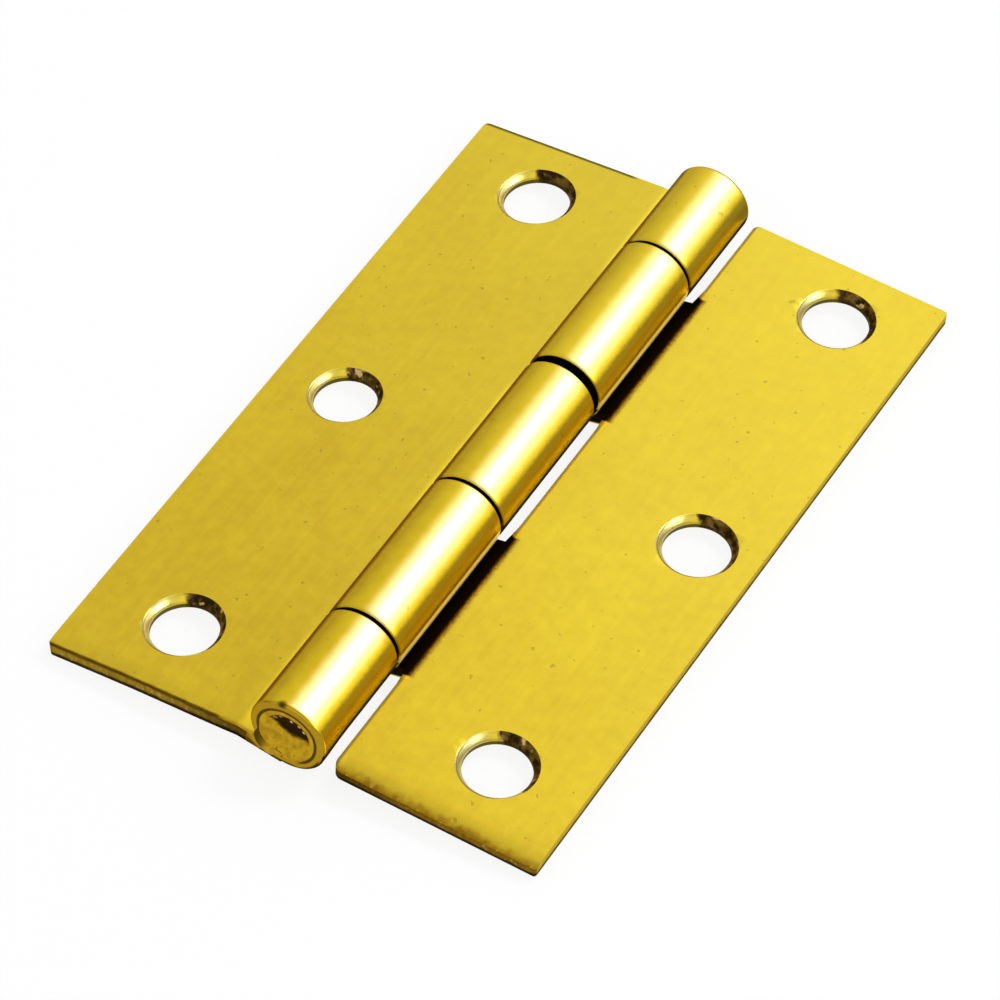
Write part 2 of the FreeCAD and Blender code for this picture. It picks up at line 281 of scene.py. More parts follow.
def dressEdges(piece, plan):
    bpy.context.view_layer.objects.active = piece
    bpy.ops.object.mode_set(mode="EDIT")
    half = sheetMetal["halfLength"]

    def depths(edge):
        return [sheetDepth(v.co) for v in edge.verts]

    def face(edge):
        return corner(edge) and all(d > 0.9 for d in depths(edge))

    def back(edge):
        return corner(edge) and all(d < 0.1 for d in depths(edge))

    def rolled(edge):
        return all(onRoll(v.co) for v in edge.verts)

    def ring(edge):
        return rolled(edge) and near(edge.verts[0].co.y, edge.verts[1].co.y)

    def atEnd(edge):
        return near(abs(edge.verts[0].co.y), half)

    jobs = [
        ("endRound", 4, lambda e: back(e) and ring(e) and atEnd(e)),
        ("knuckleRound", 3, lambda e: back(e) and ring(e) and not atEnd(e)),
        ("mouthFlare", 4, lambda e: face(e) and ring(e) and atEnd(e)),
        ("boreRound", 1, lambda e: face(e) and ring(e) and not atEnd(e)),
        ("tipRound", 3, lambda e: corner(e) and rolled(e) and not ring(e)),
        ("dieRoll", 4, lambda e: face(e) and not rolled(e)),
        ("burrSide", 1, lambda e: back(e) and not rolled(e)),
    ]
    for size, segments, test in jobs:
        pick("EDGE", test)
        bpy.ops.mesh.bevel(offset=edgeFinish[size], segments=segments, affect="EDGES", clamp_overlap=True)
    bpy.ops.mesh.select_all(action="SELECT")
    bpy.ops.mesh.remove_doubles(threshold=0.002)
    bpy.ops.mesh.dissolve_degenerate(threshold=0.001)
    bpy.ops.object.mode_set(mode="OBJECT")


screwHole = {
    "radius": 3.15,
    "rimRadius": 3.64,
    "coneDepth": 0.6,
    "rimRound": 0.12,
    "segments": 96,
}


def countersinkTool(name, x, y, size):
    # a solid of the hole's own shape, bottom to top, to be taken out of the plate
    top = sheetMetal["faceDepth"]
    bottom = top - sheetMetal["thickness"]
    land = screwHole["radius"] * size
    rim = screwHole["rimRadius"] * size
    soft = screwHole["rimRound"]
    sink = screwHole["coneDepth"]
    rings = [(land + 0.16, bottom - 0.6), (land + 0.13, bottom - 0.01), (land + 0.04, bottom + 0.05),
             (land, bottom + 0.14), (land, top - sink - 0.06), (land + 0.03, top - sink + 0.02)]
    rings += [(land + (rim - land) * k, top - sink * (1 - k)) for k in (0.25, 0.5, 0.75)]
    rings += [(rim - soft * 0.4, top - soft * 0.7), (rim + soft * 0.3, top - soft * 0.15),
              (rim + soft, top + 0.004), (rim + soft, top + 0.8)]
    deselectAll()
    bpy.ops.mesh.primitive_circle_add(vertices=screwHole["segments"], radius=rings[0][0],
                                      fill_type="NGON", location=(x, y, rings[0][1]))
    tool = bpy.context.object
    tool.name = name
    bpy.ops.object.transform_apply(location=True, rotation=False, scale=False)
    bpy.ops.object.mode_set(mode="EDIT")
    bpy.ops.mesh.select_all(action="SELECT")
    for (r0, z0), (r1, z1) in zip(rings, rings[1:]):
        bpy.ops.mesh.extrude_region_move(TRANSFORM_OT_translate={"value": (0, 0, z1 - z0)})
        bpy.ops.transform.resize(value=(r1 / r0, r1 / r0, 1), center_override=(x, y, z1))
    bpy.ops.mesh.select_all(action="SELECT")
    bpy.ops.mesh.normals_make_consistent(inside=False)
    bpy.ops.object.mode_set(mode="OBJECT")
    return tool


def drill(piece, holes):
    for i, (x, y, size) in enumerate(holes):
        tool = countersinkTool("drill" + str(i), x, y, size)
        applyModifier(piece, "BOOLEAN", operation="DIFFERENCE", solver="EXACT", object=tool)
        bpy.data.objects.remove(tool)


def keepDepth(piece):
    # remembers each point's depth in the sheet, for the look of the cut edges
    depth = piece.data.attributes.new("depth", "FLOAT", "POINT")
    depth.data.foreach_set("value", [sheetDepth(v.co) for v in piece.data.vertices])


endWear = {
    "rollReach": 1.3,         # how far in from the cropped end its face rolls over
    "sagReach": 13.0,
    "bulgeReach": 3.6,
    "bulgeShift": 0.12,
}


def wearEnd(piece, plan):
    # the near end as the press left it: face rolled over, burr at the back, a sagging inner corner
    endY = plan["nearEnd"] * sheetMetal["halfLength"]
    bendX = sheetMetal["bendX"]
    bpy.context.view_layer.objects.active = piece
    bpy.ops.object.mode_set(mode="EDIT")
    pick("VERT", lambda v: sheetDepth(v.co) < 0.5 or v.co.x < 4)
    bpy.ops.mesh.hide(unselected=False)
    pick("VERT", lambda v: near(v.co.y, endY, 0.03))
    push((0, 0, -plan["rollOver"]), endWear["rollReach"])
    bpy.ops.mesh.reveal(select=False)
    pick("VERT", lambda v: near(v.co.y, endY, 0.09) and v.co.x > 4 and sheetDepth(v.co) < 0.2)
    bpy.ops.transform.translate(value=(0, 0, -plan["burr"]))
    if plan["sag"]:
        pick("VERT", lambda v: math.hypot(v.co.x, v.co.z) < barrel["outerRadius"] + 0.05)
        bpy.ops.mesh.hide(unselected=False)
        pick("VERT", lambda v: near(v.co.x, bendX, 0.05) and near(v.co.y, endY, 0.3))
        push((0, 0, -plan["sag"]), endWear["sagReach"])
        bpy.ops.mesh.reveal(select=False)
        pick("VERT", lambda v: near(v.co.y, endY, 0.4) and v.co.z < -2.2 and v.co.x < 2.5)
        push((-endWear["bulgeShift"], plan["nearEnd"] * plan["bulge"], 0), endWear["bulgeReach"])
    bpy.ops.object.mode_set(mode="OBJECT")


finishes = {"plate": 0, "sheared": 1, "sink": 2}   # places in a leaf's list of materials


def markFinishes(piece, plan):
    for face in piece.data.polygons:
        spot = face.center
        face.material_index = finishes["plate"]
        toHole = min(math.hypot(spot.x - x, spot.y - y) / size for x, y, size in plan["holes"])
        upright = abs(face.normal.z) < 0.8
        if toHole < screwHole["rimRadius"] + screwHole["rimRound"] and abs(face.normal.z) < 0.97:
            face.material_index = finishes["sink"]
        elif upright and spot.x > 4 and toHole > 5:
            face.material_index = finishes["sheared"]


def makeLeaf(name, plan):
    piece = rolledSheet(name, plan)
    dressEdges(piece, plan)
    drill(piece, plan["holes"])
    keepDepth(piece)
    for finish in finishes:
        piece.data.materials.append(None)
    markFinishes(piece, plan)
    wearEnd(piece, plan)
    settle(piece, plan["turn"])
    smooth(piece)
    return piece


leftLeaf = makeLeaf("leafLeft", threeKnuckleLeaf)
print("hinge: left leaf", len(leftLeaf.data.polygons), "faces")
rightLeaf = makeLeaf("leafRight", twoKnuckleLeaf)
print("hinge: right leaf", len(rightLeaf.data.polygons), "faces")


# The pin has both ends spread into the barrel's mouths.

pinShape = {
    "radius": 2.45,
    "spreadRadius": 2.9,
    "halfLength": 38.0,
    "stakeDepth": 0.5,
    "rimWidth": 0.55,
    "dishDepth": 0.5,
    "dishShift": (0.22, 0.2),            # how far off centre the punch struck
    "dishReach": 1.0,
    "segments": 96,
    "dishRings": 9,
    # where the spread metal was beaten flush with the barrel's end, and where it ran into the
    # roll's seam: direction, distance, and the share of the radius at which it starts
    "spills": [(math.radians(252), 0.2, 0.8), (math.radians(220), 1.0, 0.95)],
    "spillReach": 0.9,
}


def makePin(name):
    radius = pinShape["radius"]
    half = pinShape["halfLength"]
    shank = half - pinShape["stakeDepth"]
    deselectAll()
    bpy.ops.mesh.primitive_cylinder_add(vertices=pinShape["segments"], radius=radius, depth=2 * shank)
    piece = bpy.context.object
    piece.name = name
    piece.data.name = name
    bpy.ops.object.mode_set(mode="EDIT")
    spread = pinShape["spreadRadius"]
    inner = spread - pinShape["rimWidth"]
    profile = [(spread - 0.07, half - 0.2), (spread, half - 0.12), (spread - 0.06, half - 0.04),
               (spread - 0.16, half)]
    count = pinShape["dishRings"]
    profile += [(inner + 0.12, half), (inner, half - 0.03)]
    for i in range(1, count + 1):
        r = inner * (1 - i / (count + 1))
        profile.append((r, half - 0.03 - pinShape["dishDepth"] * (1 - (r / inner) ** 3)))
    for side in (1, -1):
        pick("FACE", lambda f: near(f.calc_center_median().z, side * shank) and len(f.verts) > 4)
        last = (radius, shank)
        for r, z in profile:
            step = side * (z - last[1])
            bpy.ops.mesh.extrude_region_move(TRANSFORM_OT_translate={"value": (0, 0, step)})
            bpy.ops.transform.resize(value=(r / last[0],) * 2 + (1,), center_override=(0, 0, side * z))
            last = (r, z)
        bpy.ops.mesh.poke()
        pick("VERT", lambda v: math.hypot(v.co.x, v.co.y) < inner * 0.6 and side * v.co.z > shank - 0.2)
        push((*pinShape["dishShift"], 0), pinShape["dishReach"])
        for angle, distance, share in pinShape["spills"]:
            ahead = (math.cos(angle), math.sin(angle))

            def towards(v):
                along = v.co.x * ahead[0] + v.co.y * ahead[1]
                return along > spread * share and side * v.co.z > shank + 0.1

            pick("VERT", towards)
            push((ahead[0] * distance, ahead[1] * distance, 0), pinShape["spillReach"])
        if side > 0:
            pick("VERT", lambda v: near(v.co.z, half, 0.6) and v.co.y < -2.2)
            push((endWear["bulgeShift"], 0, threeKnuckleLeaf["bulge"]), endWear["bulgeReach"])
    bpy.ops.mesh.select_all(action="SELECT")
    bpy.ops.mesh.normals_make_consistent(inside=False)
    bpy.ops.object.mode_set(mode="OBJECT")
    settle(piece, (math.pi / 2, 0, 0))
    smooth(piece)
    return piece


pin = makePin("pinStaked")
print("hinge: pin", len(pin.data.polygons), "faces")


# Materials are put together from sums on wires between nodes.

class Wire:
    def __init__(self, board, socket):
        self.board = board
        self.socket = socket

    def work(self, operation, *others):
        return self.board.node("ShaderNodeMath", {"operation": operation}, [self, *others])

    def __add__(self, other):
        return self.work("ADD", other)

    def __radd__(self, other):
        return self.work("ADD", other)

    def __sub__(self, other):
        return self.work("SUBTRACT", other)

    def __rsub__(self, other):
        return self.board.node("ShaderNodeMath", {"operation": "SUBTRACT"}, [other, self])

    def __mul__(self, other):
        return self.work("MULTIPLY", other)

    def __rmul__(self, other):
        return self.work("MULTIPLY", other)

    def __truediv__(self, other):
        return self.work("DIVIDE", other)

    def __pow__(self, other):
        return self.work("POWER", other)


class Board:
    def __init__(self, tree):
        self.tree = tree
        tree.nodes.clear()

    def node(self, kind, settings=None, values=None, output=0):
        made = self.tree.nodes.new(kind)
        for key, value in (settings or {}).items():
            setattr(made, key, value)
        pairs = values.items() if isinstance(values, dict) else enumerate(values or [])
        for key, value in pairs:
            if isinstance(value, Wire):
                self.tree.links.new(value.socket, made.inputs[key])
            else:
                made.inputs[key].default_value = value
        return Wire(self, made.outputs[output]) if len(made.outputs) else None

    def blend(self, factor, first, second):
        return self.node("ShaderNodeMix", {"data_type": "RGBA"}, {0: factor, 6: first, 7: second}, 2)

    def spread(self, value, low, high, newLow=0.0, newHigh=1.0):
        settings = {"interpolation_type": "SMOOTHSTEP"}
        return self.node("ShaderNodeMapRange", settings, [value, low, high, newLow, newHigh])

    def vector(self, operation, *values, output=0):
        return self.node("ShaderNodeVectorMath", {"operation": operation}, values, output)

    def noise(self, place, scale, detail=2.0):
        return self.node("ShaderNodeTexNoise", {}, {"Vector": place, "Scale": scale, "Detail": detail})


def colour(red, green, blue):
    # a colour as a screen shows it, from 0 to 255, as Blender's linear values
    def linear(value):
        value /= 255
        return value / 12.92 if value <= 0.04045 else ((value + 0.055) / 1.055) ** 2.4
    return (linear(red), linear(green), linear(blue), 1)


class Spot(Board):
    # a board that starts with the point's place on the hinge, in millimetres
    def __init__(self, material):
        material.use_nodes = True
        super().__init__(material.node_tree)
        metres = self.node("ShaderNodeTexCoord", output="Object")
        self.place = self.vector("MULTIPLY", metres, (1000, 1000, 1000))
        self.x = self.node("ShaderNodeSeparateXYZ", {}, [self.place], 0)
        self.y = self.node("ShaderNodeSeparateXYZ", {}, [self.place], 1)
        self.z = self.node("ShaderNodeSeparateXYZ", {}, [self.place], 2)
        self.up = self.z - barrel["axisHeight"]
        self.fromAxis = (self.x ** 2 + self.up ** 2) ** 0.5
        self.fromMiddle = self.y.work("ABSOLUTE")

    def around(self, place, inner, outer):
        # 1 within inner of a place, 0 beyond outer
        distance = self.vector("DISTANCE", self.place, place, output=1)
        return self.spread(distance, outer, inner)


goldLook = {
    "light": colour(238, 205, 26),
    "dark": colour(222, 186, 18),
    # the dark of painted shade, also used for the dark joint lines
    "shadeBlack": colour(16, 9, 4),
    "brown": colour(116, 74, 12),
    # the torn back of a cut edge, darkened further as painted shade
    "tornShade": colour(36, 21, 5),
    "coatWeight": 0.55,
    "coatRoughness": 0.28,
    "rimTint": colour(246, 218, 150),    # the metal's colour where it is seen edge on
    "darkeningRoughness": 0.35,
    "reliefHeight": 0.00001,
}


def goldSurface(board, base, darkening, roughness, relief, coat):
    # plated brass; darkening from 0 to 1 hides it under dark: mostly painted shade, also dark joint lines
    base = board.blend(darkening, base, goldLook["shadeBlack"])
    rough = roughness + darkening * goldLook["darkeningRoughness"]
    bump = board.node("ShaderNodeBump", {}, {
        "Strength": 1.0, "Distance": goldLook["reliefHeight"], "Height": relief})
    surface = board.node("ShaderNodeBsdfPrincipled", {}, {
        "Base Color": base, "Metallic": 1.0, "Roughness": rough, "Coat Weight": (1 - darkening) * coat,
        "Coat Roughness": goldLook["coatRoughness"], "Specular Tint": goldLook["rimTint"], "Normal": bump})
    board.node("ShaderNodeOutputMaterial", {}, {"Surface": surface})


plateLook = {
    "pale": colour(243, 221, 62),        # towards the far right: painted light, paler where the lamps light the leaves more
    "paleShare": 0.5,
    "speck": colour(126, 112, 26),
    "speckShare": 0.4,
    "roughness": 0.24,
    "barrelRoughness": 0.42,
    "endShade": colour(146, 92, 8),         # painted shade along the cropped near end, where its face rolls over
    "endShadeShare": 0.85,
    # painted glints in that shade
    "endGlint": colour(222, 184, 70),
    "slotDepth": (0.08, 0.16),           # how deep in the sheet a slot's painted shade starts
    "bendShade": colour(92, 56, 10),          # painted shade on the face beside the slots, where it bends down into them
    "bendShadeShare": 0.9,
    "rim": colour(104, 88, 26),          # a dark hairline of painted shade along the inner edge
    "edgeShadeShare": 0.7,
    "endFace": colour(176, 118, 44),     # the barrel's two outer ends
    "endFaceShare": 0.5,
    # a spot of painted shade on top of the near end's rounded edge
    "endEdgeShade": (-0.45, -37.95, 7.65),
    "endEdgeShadeShare": 0.85,
    "spill": (-0.6, -38.0, 0.9),         # where the pin's metal closed the joint round it
    "spillReach": (1.2, 2.6),
    "jointShare": 0.8,
    # a painted highlight along the barrel
    "barrelHighlight": colour(255, 247, 210),
    "highlightTurn": math.radians(65.6),     # where the painted highlight lies on the barrel, from level on its right
    "highlightShare": 0.44,
    "leftShadeShare": 0.94,                   # of the painted shade low on the barrel's left
    # painted shade low on the barrel's right
    "right": colour(116, 90, 26),
    "rightShadeShare": (0.68, 0.8),           # upper and lower part
    "paintedLip": colour(255, 228, 130),        # a painted highlight on the roll's lip on the right leaf's knuckles
}


def slotShade(board, side, plan, ragged, depth):
    # painted shade in the slots beside the barrel; the second result is 1 beside the leaf's own knuckles
    beside = ragged * 0
    for low, high in plan["knuckles"]:
        off = (board.y - side * (low + high) / 2).work("ABSOLUTE")
        half = (high - low) / 2
        beside = beside.work("MAXIMUM", board.spread(off, half + 0.8, half + 0.5))
    edge = plan["slotEdge"] - (1 - beside) * 0.5
    slot = board.spread(board.x * side + ragged, edge + 0.6, edge + 0.1)
    slot = slot * board.spread(board.fromAxis, 3.83, 3.88) * board.spread(depth, *plateLook["slotDepth"])
    return slot * board.spread(board.fromMiddle, 37.8, 37.5), beside


def barrelShadeAndJoints(board, side, ragged):
    # painted shade in the gaps between knuckles and under the near end, and the dark joint round the pin
    gaps = board.spread(board.fromAxis, 3.66, 3.6) * board.spread(board.fromMiddle, 37.7, 37.6)
    joint = board.spread(board.fromAxis, 3.14, 3.04) * board.spread(board.fromMiddle, 37.0, 37.3)
    joint = joint * (1 - board.around(plateLook["spill"], *plateLook["spillReach"]))
    # painted shade under the barrel's ends and along their bottom
    foot = board.spread(board.fromAxis, 3.42, 3.58) * board.spread(board.x, -2.2, -1.2)
    foot = foot.work("MAXIMUM", board.spread(board.z, 0.6, 0.4))
    foot = foot * board.spread(board.fromMiddle, 37.4, 37.7) * board.spread(board.up, -1.0, -1.8)
    foot = foot * board.spread(board.fromAxis, 4.7, 4.3)
    darkening = gaps.work("MAXIMUM", joint * plateLook["jointShare"]).work("MAXIMUM", foot * 0.9)
    # painted shade along the lower right of the left leaf's knuckles
    if side < 0:
        under = board.spread(board.z + ragged * 0.4, 3.42, 3.16) * board.spread(board.z, 1.6, 2.1)
        under = under * board.spread(board.x, 1.6, 2.2) * board.spread(board.fromAxis, 3.7, 3.76)
        darkening = darkening.work("MAXIMUM", under)
    # a spot of painted shade on top of the near end's rounded edge
    endEdgeShade = board.around(plateLook["endEdgeShade"], 0.2, 0.7) * plateLook["endEdgeShadeShare"]
    return darkening.work("MAXIMUM", endEdgeShade)


def plateMaterial(name, side, plan):
    material = bpy.data.materials.new(name)
    board = Spot(material)
    outward = board.x * side
    clouds = board.noise(board.place, 0.09)
    mottle = board.noise(board.place, 0.8, 4.0)
    grain = board.noise(board.place, 3.4, 2.0)
    lengthwise = board.vector("MULTIPLY", board.place, (1.6, 0.04, 1.6))
    streaks = board.noise(lengthwise, 1.0, 3.0)
    ragged = (board.noise(board.place, 2.2, 2.0) - 0.5) * 0.25
    depth = board.node("ShaderNodeAttribute", {"attribute_name": "depth"}, output=2)

    tone = 0.5 + (clouds - 0.5) * 1.2 + (mottle - 0.5) * 1.2 + (streaks - 0.5) * 0.7
    base = board.blend(tone, goldLook["dark"], goldLook["light"])
    # painted light: paler and yellower towards the far right
    pale = board.spread(board.x + board.y, -45.0, 55.0) * plateLook["paleShare"]
    base = board.blend(pale, base, plateLook["pale"])
    specks = board.spread(board.noise(board.place, 1.3, 1.0), 0.72, 0.79)
    base = board.blend(specks * plateLook["speckShare"], base, plateLook["speck"])

    # painted shade along the cropped near end, where its face rolls over, with painted glints in it
    reach = plan["endShadeReach"]
    wander = (board.noise(board.place, 1.1, 3.0) - 0.5) * reach * 1.3
    nearEnd = board.spread(board.y + wander, reach - 38.0, -38.1) * board.spread(board.fromAxis, 4.3, 4.8)
    base = board.blend(nearEnd * plateLook["endShadeShare"], base, plateLook["endShade"])
    glintFlecks = board.spread(board.noise(board.place, 2.4, 1.0), 0.6, 0.68) * nearEnd
    base = board.blend(glintFlecks * 0.6, base, plateLook["endGlint"])

    slot, beside = slotShade(board, side, plan, ragged, depth)
    darkening = slot.work("MAXIMUM", barrelShadeAndJoints(board, side, ragged))
    if side > 0:
        # painted shade where the face bends down into the slots, and a dark hairline of painted shade
        # along the inner edge
        bendShade = board.spread(outward + ragged, 5.6, 4.95) * board.spread(depth, 0.6, 0.8) * beside
        base = board.blend(bendShade * plateLook["bendShadeShare"], base, plateLook["bendShade"])
        rim = board.spread(outward, 4.9, 4.72) * board.spread(depth, 0.3, 0.5)
        base = board.blend(rim * plateLook["edgeShadeShare"], base, plateLook["rim"])

    # the barrel: a painted highlight along its crown, painted shade low on both sides
    endFace = board.spread(board.fromMiddle, 37.6, 37.85)
    onBarrel = board.spread(board.fromAxis, 3.98, 3.88) * (1 - endFace)
    turn = plateLook["highlightTurn"]
    ahead = (board.x * math.cos(turn) + board.up * math.sin(turn)) / barrel["outerRadius"]
    # painted highlight along the barrel's crown
    barrelHighlight = board.spread(ahead + (mottle - 0.5) * 0.02, 0.885, 0.99)
    barrelHighlight = barrelHighlight * board.spread(board.fromMiddle, 37.72, 37.58)
    barrelHighlight = barrelHighlight * board.spread(board.y, 10.0, -34.0, 0.75, 1.0)
    # painted shade low on the barrel's left and right
    leftShade = board.spread(board.x, -1.9, -2.7) * board.spread(board.z + ragged, 6.9, 6.2)
    leftShade = onBarrel * leftShade * board.spread(board.z, 4.3, 5.2) * plateLook["leftShadeShare"]
    rightShade = board.spread(board.x, 2.4, 3.0) * board.spread(board.z + ragged, 6.15, 5.6)
    rightShade = rightShade * board.spread(board.z, 3.6, 3.9)
    rightShade = onBarrel * rightShade * board.spread(board.z, 5.4, 4.8, *plateLook["rightShadeShare"])
    root = endFace * board.spread(outward, 5.2, 4.4)
    base = board.blend(root * plateLook["endFaceShare"], base, plateLook["endFace"])
    base = board.blend(onBarrel * barrelHighlight * plateLook["highlightShare"], base, plateLook["barrelHighlight"])
    base = board.blend(leftShade, base, goldLook["brown"])
    base = board.blend(rightShade, base, plateLook["right"])
    # a painted highlight on the roll's lip of the right leaf's knuckles
    paintedLip = onBarrel * board.spread(board.x, 3.2, 3.4) * board.spread(board.z, 3.65, 3.45)
    if side > 0:
        base = board.blend(paintedLip, base, plateLook["paintedLip"])
    else:
        # painted shade along the lower right of the left leaf's knuckles
        lowRight = board.spread(board.x, 2.9, 3.3) * board.spread(board.z + ragged, 3.9, 3.4)
        darkening = darkening.work("MAXIMUM", onBarrel * lowRight * 0.9)
        # painted shade at the bottom of the barrel's ends, left of the pin
        low = board.z - (outward - 2.2) * 0.28
        tornShade = endFace * board.spread(low, 0.65, 0.3) * board.spread(outward, 2.6, 3.8)
        base = board.blend(tornShade * 0.8, base, goldLook["tornShade"])

    roughness = plateLook["roughness"] + (mottle - 0.5) * 0.1
    roughness = roughness + onBarrel * (plateLook["barrelRoughness"] - plateLook["roughness"]) + paintedLip * 0.5
    coat = (1 - leftShade - rightShade) * (1 - onBarrel * 0.5) * (1 - endFace * 0.8) * (1 - nearEnd * 0.8)
    relief = mottle * 0.6 + grain * 0.25 + streaks * 0.5 - specks * 0.5
    goldSurface(board, base, darkening, roughness, relief, coat * goldLook["coatWeight"])
    return material


shearedLook = {
    "band": {-1: (colour(124, 92, 18), colour(214, 178, 56)),     # by side: left and right leaf; the right leaf's is painted darker, as shade
             1: (colour(96, 62, 10), colour(184, 140, 40))},
    "outer": colour(255, 230, 84),       # painted lighter on the two long outer edges, as light falls on them
    # the torn back of those outer edges, painted lighter as they are lit
    "outerTornLit": colour(92, 74, 18),
    "glintFleck": colour(232, 208, 120),
    # painted shade along the rolled top of the edge
    "rollShade": colour(104, 64, 14),
    "roughness": 0.42,
    "coat": 0.1,
}


def shearedMaterial(name, side):
    # a cropped edge: a brown line of painted shade, burnished band with painted glints, dark torn line at
    # the back, darkened as painted shade
    material = bpy.data.materials.new(name)
    board = Spot(material)
    outward = board.x * side
    depth = board.node("ShaderNodeAttribute", {"attribute_name": "depth"}, output=2)
    upright = board.vector("MULTIPLY", board.place, (1.0, 1.0, 0.18))
    scratches = board.noise(upright, 2.6, 3.0)
    wander = (board.noise(board.place, 1.1, 3.0) - 0.5) * 0.34
    glintFlecks = board.spread(board.noise(board.place, 1.9, 2.0), 0.6, 0.72)
    outer = board.spread(outward, 24.7, 24.95) * board.spread(board.fromMiddle, 37.95, 37.5)
    band = board.blend(scratches, *shearedLook["band"][side])
    band = board.blend(outer * 0.9, band, shearedLook["outer"])
    band = board.blend(glintFlecks * 0.6, band, shearedLook["glintFleck"])
    rollShade = board.spread(depth + wander, 0.84, 0.95)
    tornShade = board.spread(depth + wander * 0.8, 0.5, 0.26)
    base = board.blend(rollShade * (1 - outer) * 0.7, band, shearedLook["rollShade"])
    base = board.blend(tornShade, base, board.blend(outer, goldLook["tornShade"], shearedLook["outerTornLit"]))
    # painted shade on the edges towards the barrel
    darkening = board.spread(outward, 14.0, 4.6) * 0.6
    goldSurface(board, base, darkening, shearedLook["roughness"], scratches * 1.2 + glintFlecks * 0.6,
                shearedLook["coat"])
    return material


sinkLook = {
    "dull": colour(242, 208, 34),
    "clear": colour(250, 226, 70),
    # a painted highlight
    "sinkHighlight": colour(255, 242, 160),
    # painted shade, mottled
    "farShade": colour(112, 62, 8),
    "farShadeWay": (0.66, 0.75),           # the side of each hole painted dark, as shade
    "highlightWay": (-0.965, -0.265),       # and the side painted brightest, as a highlight
    "glintFleck": colour(236, 204, 130),
    # painted shade on the near rim of each hole
    "paintedLip": colour(110, 92, 30),
    "roughness": 0.3,
}


def sinkMaterial(name, side, holes):
    # a countersink: a painted highlight on one side, painted shade, mottled, across from there
    material = bpy.data.materials.new(name)
    board = Spot(material)
    mottle = board.noise(board.place, 1.5, 4.0)
    depth = board.node("ShaderNodeAttribute", {"attribute_name": "depth"}, output=2)
    dark, sinkHighlight, paintedLip = mottle * 0, mottle * 0, mottle * 0
    for x, y, size in holes:
        along, across = board.x - side * x, board.y - side * y
        close = board.around((side * x, side * y, 1.9), 4.4, 4.9)
        towardsShade = along * sinkLook["farShadeWay"][0] + across * sinkLook["farShadeWay"][1]
        clean = along * sinkLook["highlightWay"][0] + across * sinkLook["highlightWay"][1]
        dark = dark + close * board.spread(towardsShade + (mottle - 0.5) * 1.2, 0.9, 1.5)
        sinkHighlight = sinkHighlight + close * board.spread(clean, 1.2, 3.0)
        paintedLip = paintedLip + close * board.spread(towardsShade, -0.6, -2.0)
    glintFlecks = board.spread(board.noise(board.place, 1.2, 1.0), 0.6, 0.7)
    mottledShade = dark * board.spread(board.noise(board.place, 1.1, 3.0), 0.36, 0.6, 0.35, 0.9)
    mottledShade = mottledShade * (1 - glintFlecks * 0.9)
    # painted shade down in the bore
    land = board.spread(depth, 0.46, 0.4)
    base = board.blend(mottle, sinkLook["dull"], sinkLook["clear"])
    base = board.blend(sinkHighlight * 0.8, base, sinkLook["sinkHighlight"])
    base = board.blend(dark * 0.85, base, sinkLook["farShade"])
    base = board.blend(dark * glintFlecks * 0.7, base, sinkLook["glintFleck"])
    base = board.blend(paintedLip * board.spread(depth, 0.86, 0.93) * 0.8, base, sinkLook["paintedLip"])
    goldSurface(board, base, mottledShade.work("MAXIMUM", land * 0.8), sinkLook["roughness"], mottle * 0.8,
                goldLook["coatWeight"])
    return material


pinLook = {
    "light": colour(232, 190, 26),
    "dark": colour(204, 154, 22),
    # painted shade in the dish
    "hollowShade": colour(70, 36, 6),
    "glint": colour(255, 250, 225),
    "glints": [(-0.74, 1.8), (0.24, 1.45), (1.02, 1.24), (1.5, 0.8)],    # across and up from the axis
    "glintSize": (0.1, 0.24),
    "glow": (-1.24, -37.9, 5.2),         # a softer painted highlight on the pin's end
    "glowSize": (0.1, 0.42),
    "stroke": (0.76, 2.54),              # centre of the painted shade in the dish, across and up
    "roughness": 0.3,
    "coat": 0.2,
}


def pinMaterial(name):
    material = bpy.data.materials.new(name)
    board = Spot(material)
    mottle = board.noise(board.place, 1.4, 4.0)
    base = board.blend(board.spread(mottle, 0.35, 0.65), pinLook["light"], pinLook["dark"])
    # painted shade on the pin inside the barrel, seen through the gaps
    shank = board.spread(board.fromMiddle, 37.42, 37.3)

    # painted shade on the dish's upper wall, with small painted glints beside its rim
    def fromPoint(x, up):
        return ((board.x - x) ** 2 + (board.up - up) ** 2) ** 0.5

    wander = (board.noise(board.place, 1.8, 3.0) - 0.5) * 0.8
    inDish = board.spread(board.fromAxis + wander * 0.3, 2.3, 2.1)
    dishShade = inDish * board.spread(fromPoint(*pinLook["stroke"]) + wander * 0.6, 3.0, 2.5)
    inner, outer = pinLook["glintSize"]
    glints = board.around(pinLook["glow"], *pinLook["glowSize"]) * 0.8
    for x, up in pinLook["glints"]:
        glints = glints.work("MAXIMUM", board.spread(fromPoint(x, up), outer, inner))
    base = board.blend(glints * 0.9, base, pinLook["glint"])
    marks = board.spread(board.noise(board.place, 1.7, 3.0), 0.6, 0.7) * board.spread(board.up, -0.6, -1.6)
    base = board.blend(marks * 0.6, base, goldLook["brown"])
    joint = board.spread(board.fromAxis, 2.76, 2.84)
    joint = joint * (1 - board.around(plateLook["spill"], *plateLook["spillReach"]))
    dishShade = dishShade * (1 - glints)
    base = board.blend(dishShade * 0.9, base, pinLook["hollowShade"])
    darkening = shank.work("MAXIMUM", dishShade * 0.8).work("MAXIMUM", joint * plateLook["jointShare"])
    relief = mottle * 1.5 + board.noise(board.place, 4.0, 2.0) * 0.5
    goldSurface(board, base, darkening, pinLook["roughness"], relief, pinLook["coat"])
    return material


def dress(piece, *materials):
    piece.data.materials.clear()
    for material in materials:
        piece.data.materials.append(material)


